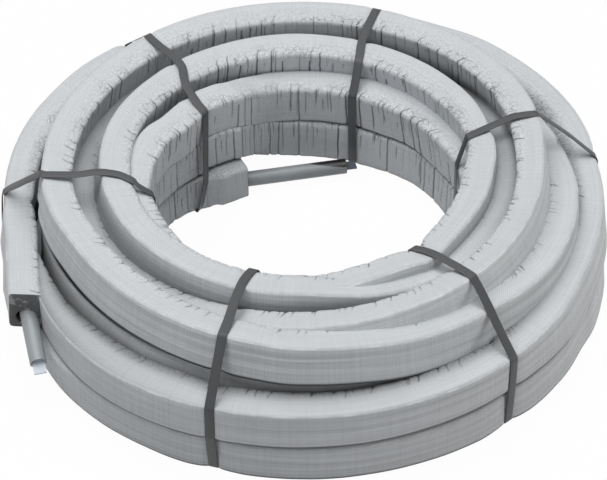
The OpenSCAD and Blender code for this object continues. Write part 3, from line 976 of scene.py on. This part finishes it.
def strapLoop(route, slide, surfaces):
    # the line seen from above, then the taut loop over what stands along it
    knots = np.array([cartesian(bearing, share) for bearing, share in route])
    reach = walkedAlong(knots)
    total = reach[-1]
    at = lambda t: smoothThrough(reach, knots, np.atleast_1d(np.clip(t, 0, total)))[0]
    aside = lambda heading, share: np.array([-heading[1], heading[0]]) * share

    def headingAt(t):
        step = 0.003
        inner = min(max(t, step), total - step)
        heading = at(inner + step) - at(inner - step)
        heading = heading / np.linalg.norm(heading)
        # a strap twists to lie flat where it runs down a wall
        inward = -at(t) / np.linalg.norm(at(t))
        heading = heading + (inward - heading) * min(1.0, max(0.0, 1 - min(t, total - t) / straps["twist"]))
        return heading / np.linalg.norm(heading)

    def slipped(t, z):
        share = slide * max(0.0, 1 - z / straps["slipHeight"])
        share *= min(1.0, max(0.0, (t - total + 0.07) / 0.05))          # the inner end only
        return at(t) + aside(headingAt(t), share)

    lanes = [lane * straps["width"] for lane in straps["probeLanes"]]
    lowest, away = 0.004, straps["probeFrom"]
    found = []
    for t in np.arange(0.0, total, straps["probeStep"]):
        for lane in lanes:
            x, y = at(t) + aside(headingAt(t), lane)
            hit = nearestHit(surfaces, (x, y, 2 * cadHigh[2]), (0, 0, -1))
            if hit is not None and hit.z > lowest:
                found.append((t, hit.z))
    for end, sign in ((0.0, 1), (total, -1)):
        heading = headingAt(end) * sign
        for z in np.arange(lowest, 0.175, straps["probeRise"]):
            for lane in lanes:
                start = slipped(end, z) - heading * away + aside(heading, lane)
                hit = nearestHit(surfaces, (*start, z), (*heading, 0))
                if hit is None:
                    continue
                run = np.dot(np.array([hit.x, hit.y]) - start, heading) - away
                if abs(run) < 0.03:
                    found.append((run if sign > 0 else total - run, z))
    # each point grows into a small ring, so that the strap bends softly round every edge
    turns = np.arange(10) * math.tau / 10
    bend = np.stack([np.cos(turns), np.sin(turns)], 1) * straps["bend"]
    hull = hullOf((np.array(found)[:, None] + bend[None]).reshape(-1, 2))
    hull[:, 1] = np.maximum(hull[:, 1], straps["lift"])
    loop = np.vstack([hull, hull[:1]])
    run = walkedAlong(loop)
    places = np.linspace(0, run[-1], int(run[-1] / straps["step"]), endpoint=False)
    flat = np.stack([np.interp(places, run, loop[:, k]) for k in range(2)], 1)
    tangent = unitRows(np.roll(flat, -1, 0) - np.roll(flat, 1, 0))
    normal = np.stack([tangent[:, 1], -tangent[:, 0]], 1)
    if np.sum(normal * (flat - hull.mean(0))) < 0:
        normal = -normal
    flat = flat - normal * (straps["bend"] - straps["lift"])
    centre, outward = [], []
    for (t, z), (across, rise) in zip(flat, normal):
        heading = headingAt(t)
        here = slipped(min(max(t, 0), total), z) + heading * (min(t, 0) + max(t - total, 0))
        centre.append((*here, z))
        outward.append((*heading * across, rise))
    centre = np.array(centre)
    # the band's width lies along the coil, square to its own run
    ahead = unitRows(np.roll(centre, -1, 0) - np.roll(centre, 1, 0))
    around = np.stack([-centre[:, 1], centre[:, 0], centre[:, 2] * 0], 1)
    side = unitRows(around - ahead * np.sum(around * ahead, axis=1)[:, None])
    up = np.cross(ahead, side)
    up *= np.sign(np.sum(up * np.array(outward), axis=1))[:, None]
    return {"centre": centre, "side": side, "up": up, "along": walkedAlong(centre)}


bandTree = bandSweep()
bandValues = {"Width": straps["width"], "Thickness": straps["thickness"], "Strap": strapPlastic}
surfaces = [surfaceOf(piece) for piece in jacketPieces]
for number, (route, slide) in enumerate(zip(strapRoutes, strapSlide), 1):
    loop = strapLoop(route, slide, surfaces)
    piece = plainMesh(routeMesh(f"strap_band_{number}", [loop], list(loop)), bandTree, bandValues)
    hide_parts(f"strap_{number}")
    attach(piece, "root")
print("straps made")

# the pipe's ends and the plugs keep their own shape
for name, material in (("pipe", pipePlastic), ("outer_plug", outerPlug), ("inner_plug", shadedInnerPlug)):
    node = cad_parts[name]
    node.data.materials.clear()
    node.data.materials.append(material)
print("pipe and plugs finished")

studio = {
    "floorSize": 24.0,
    "floorHeight": -0.0005,
    "floorColour": (0.55, 0.55, 0.56, 1),
    "floorWhite": 1.02,       # how bright the floor looks
    "floorShare": 0.95,       # how much of that is seen; the rest keeps the shadow
    "ambientColour": (0.95, 0.975, 1, 1),
    "ambient": 0.13,
    "lights": {               # place, size, power, colour
        "overhead": ((-0.3, 0.2, 2.8), 3.0, 80, (1, 1, 1)),
        "front": ((-1.6, -2.4, 1.6), 1.8, 11, (1, 1, 1)),
        "right": ((2.5, -0.6, 0.5), 0.8, 13, (1, 0.97, 0.93)),
    },
    "cameraPlace": (0.0034, -1.7277, 1.6296),
    "cameraTilt": 47.1,       # degrees up from straight down
    "lens": 110.6,
}


def seenDirectly(tree):
    paths = allOutputs(tree, "ShaderNodeLightPath")
    return calc("MAXIMUM", paths["Is Camera Ray"], paths["Is Glossy Ray"])


def floorMaterial():
    material, tree = blankMaterial("paleFloor")
    plain = output(tree, "ShaderNodeBsdfDiffuse", {"Color": studio["floorColour"]})
    white = output(tree, "ShaderNodeEmission", {"Color": (1, 1, 1, 1), "Strength": studio["floorWhite"]})
    share = seenDirectly(tree) * studio["floorShare"]
    mixed = output(tree, "ShaderNodeMixShader", {0: share, 1: plain, 2: white})
    addNode(tree, "ShaderNodeOutputMaterial", {"Surface": mixed})
    return material


scene = bpy.context.scene
half, level = studio["floorSize"] / 2, studio["floorHeight"]
floorMesh = bpy.data.meshes.new("floor")
corners = [(-half, -half, level), (half, -half, level), (half, half, level), (-half, half, level)]
floorMesh.from_pydata(corners, [], [(0, 1, 2, 3)])
floor = bpy.data.objects.new("floor", floorMesh)
floor.data.materials.append(floorMaterial())
scene.collection.objects.link(floor)

world = bpy.data.worlds.new("studio")
scene.world = world
world.use_nodes = True
tree = world.node_tree
tree.nodes.clear()
ambient = output(tree, "ShaderNodeBackground", {"Color": studio["ambientColour"],
                 "Strength": studio["ambient"]})
backdrop = output(tree, "ShaderNodeBackground", {"Color": (1, 1, 1, 1), "Strength": 1.0})
sky = output(tree, "ShaderNodeMixShader", {0: seenDirectly(tree), 1: ambient, 2: backdrop})
addNode(tree, "ShaderNodeOutputWorld", {"Surface": sky})

for name, (place, size, power, colour) in studio["lights"].items():
    lamp = bpy.data.lights.new(name, "AREA")
    lamp.shape, lamp.size, lamp.energy, lamp.color = "SQUARE", size, power, colour
    holder = bpy.data.objects.new(name, lamp)
    holder.location = place
    holder.rotation_euler = (Vector((0, 0, 0.1)) - Vector(place)).to_track_quat("-Z", "Y").to_euler()
    scene.collection.objects.link(holder)

camera = bpy.data.objects.new("camera", bpy.data.cameras.new("camera"))
camera.location = studio["cameraPlace"]
camera.rotation_euler = (math.radians(studio["cameraTilt"]), 0, 0)
camera.data.lens = studio["lens"]
camera.data.sensor_width = 36
scene.collection.objects.link(camera)
scene.camera = camera
scene.view_settings.view_transform = "Standard"
print("floor, lights and camera set")
